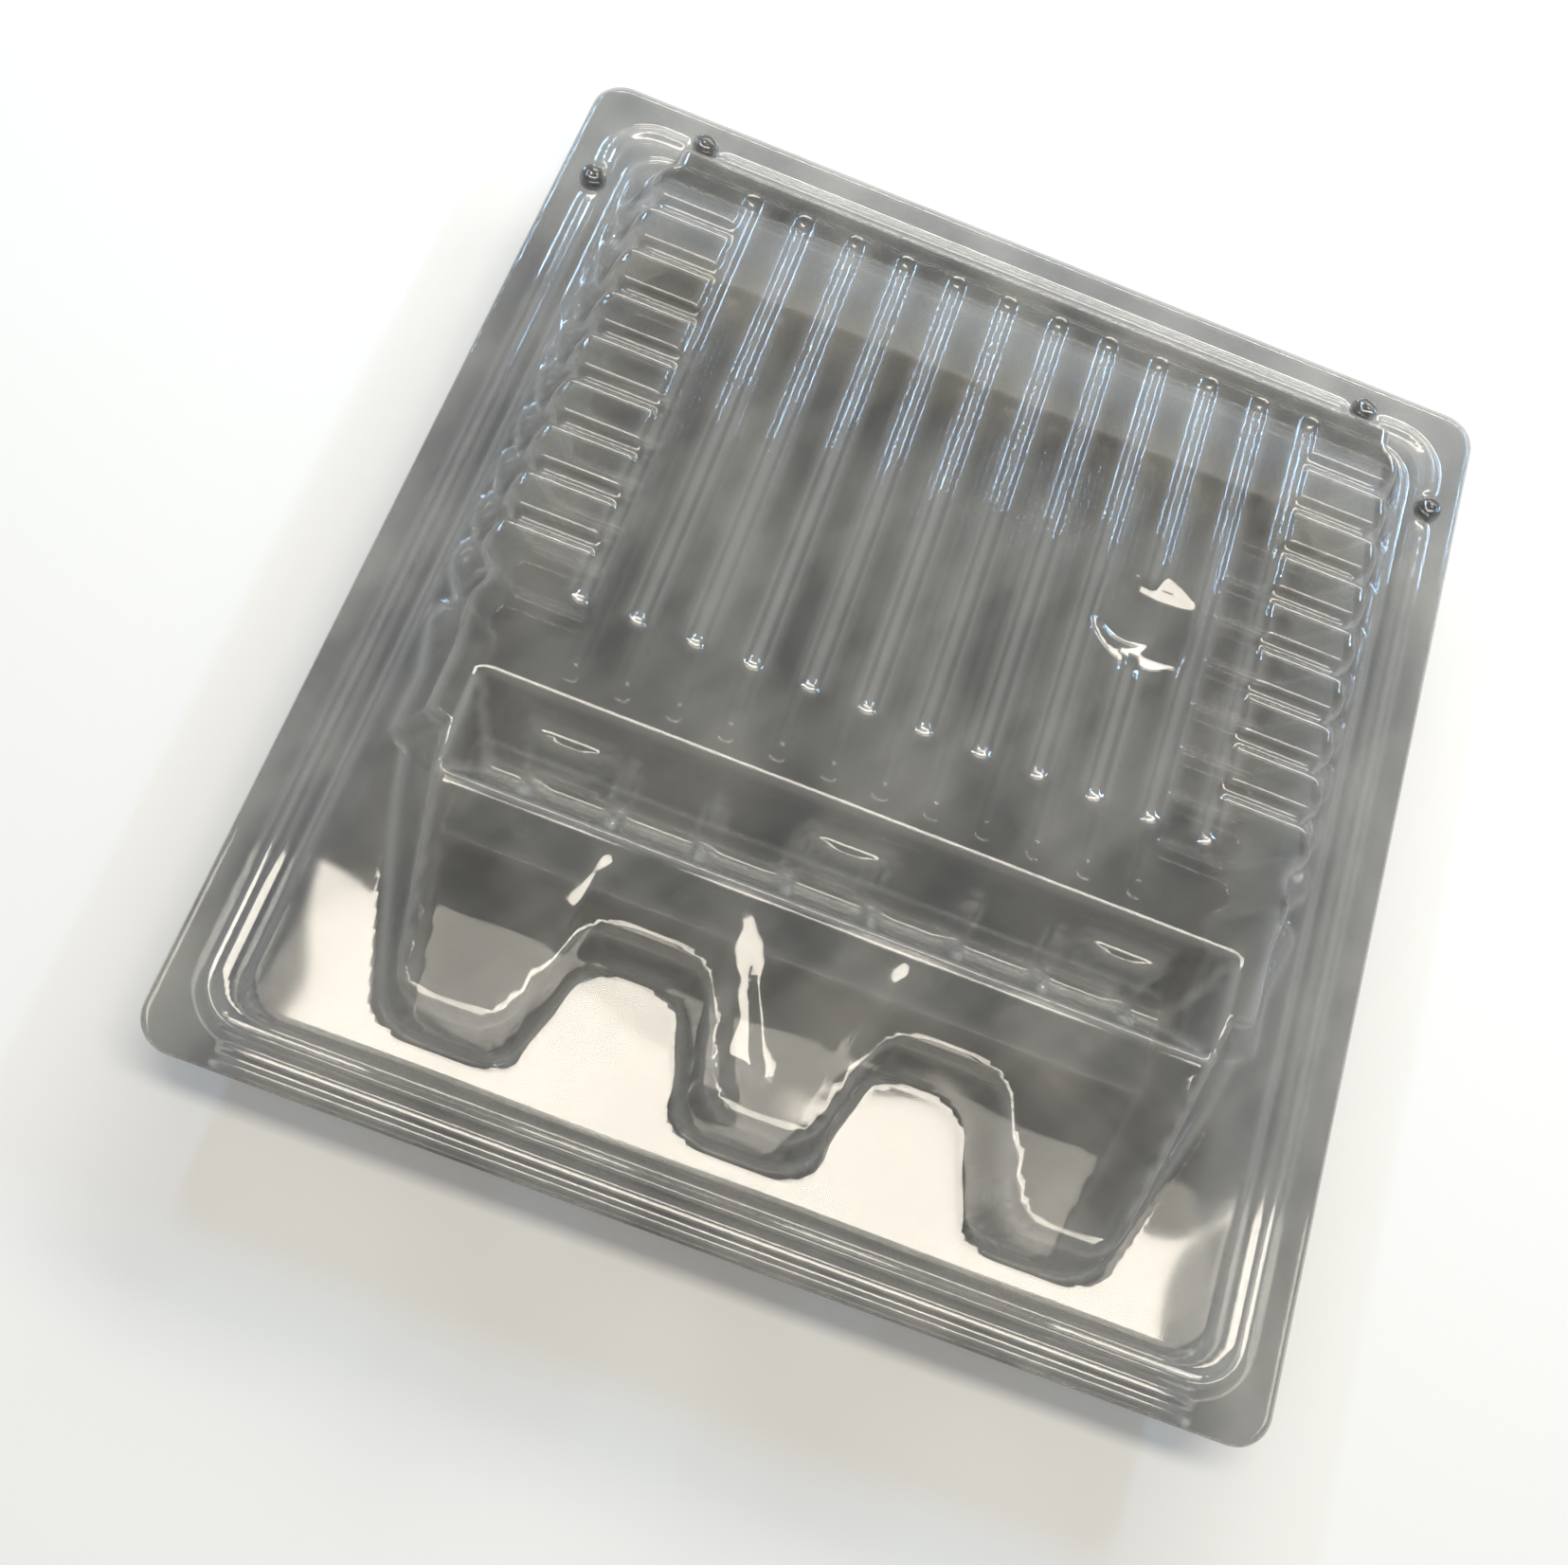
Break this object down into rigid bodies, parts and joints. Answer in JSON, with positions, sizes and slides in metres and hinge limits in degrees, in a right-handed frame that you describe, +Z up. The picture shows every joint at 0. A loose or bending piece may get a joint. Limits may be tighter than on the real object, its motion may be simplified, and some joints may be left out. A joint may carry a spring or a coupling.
{
  "type": "plastic transport box",
  "caption": "Clear hinged transport box: two thin formed shells with a ribbed chamber, a cross trough, tapered cells and a flat beaded flange.",
  "frame": {"origin": "centre of the shut box at the level it stands on", "axes": "+X across the box, +Y from the hinge edge to the opening edge, +Z up out of the lid"},
  "size_m": [0.18, 0.195, 0.0312],
  "materials": {
    "clear_sheet": "clear formed sheet, glossy"
  },
  "bodies": {
    "base": {"base_shell": "clear_sheet"},
    "lid": {"lid_shell": "clear_sheet"}
  },
  "joints": [
    {"name": "lid_hinge", "type": "hinge", "parent": "base", "child": "lid", "pos_m": [0, -0.0975, 0.0156], "axis": [1, 0, 0], "range_deg": [0, 180]}
  ]
}
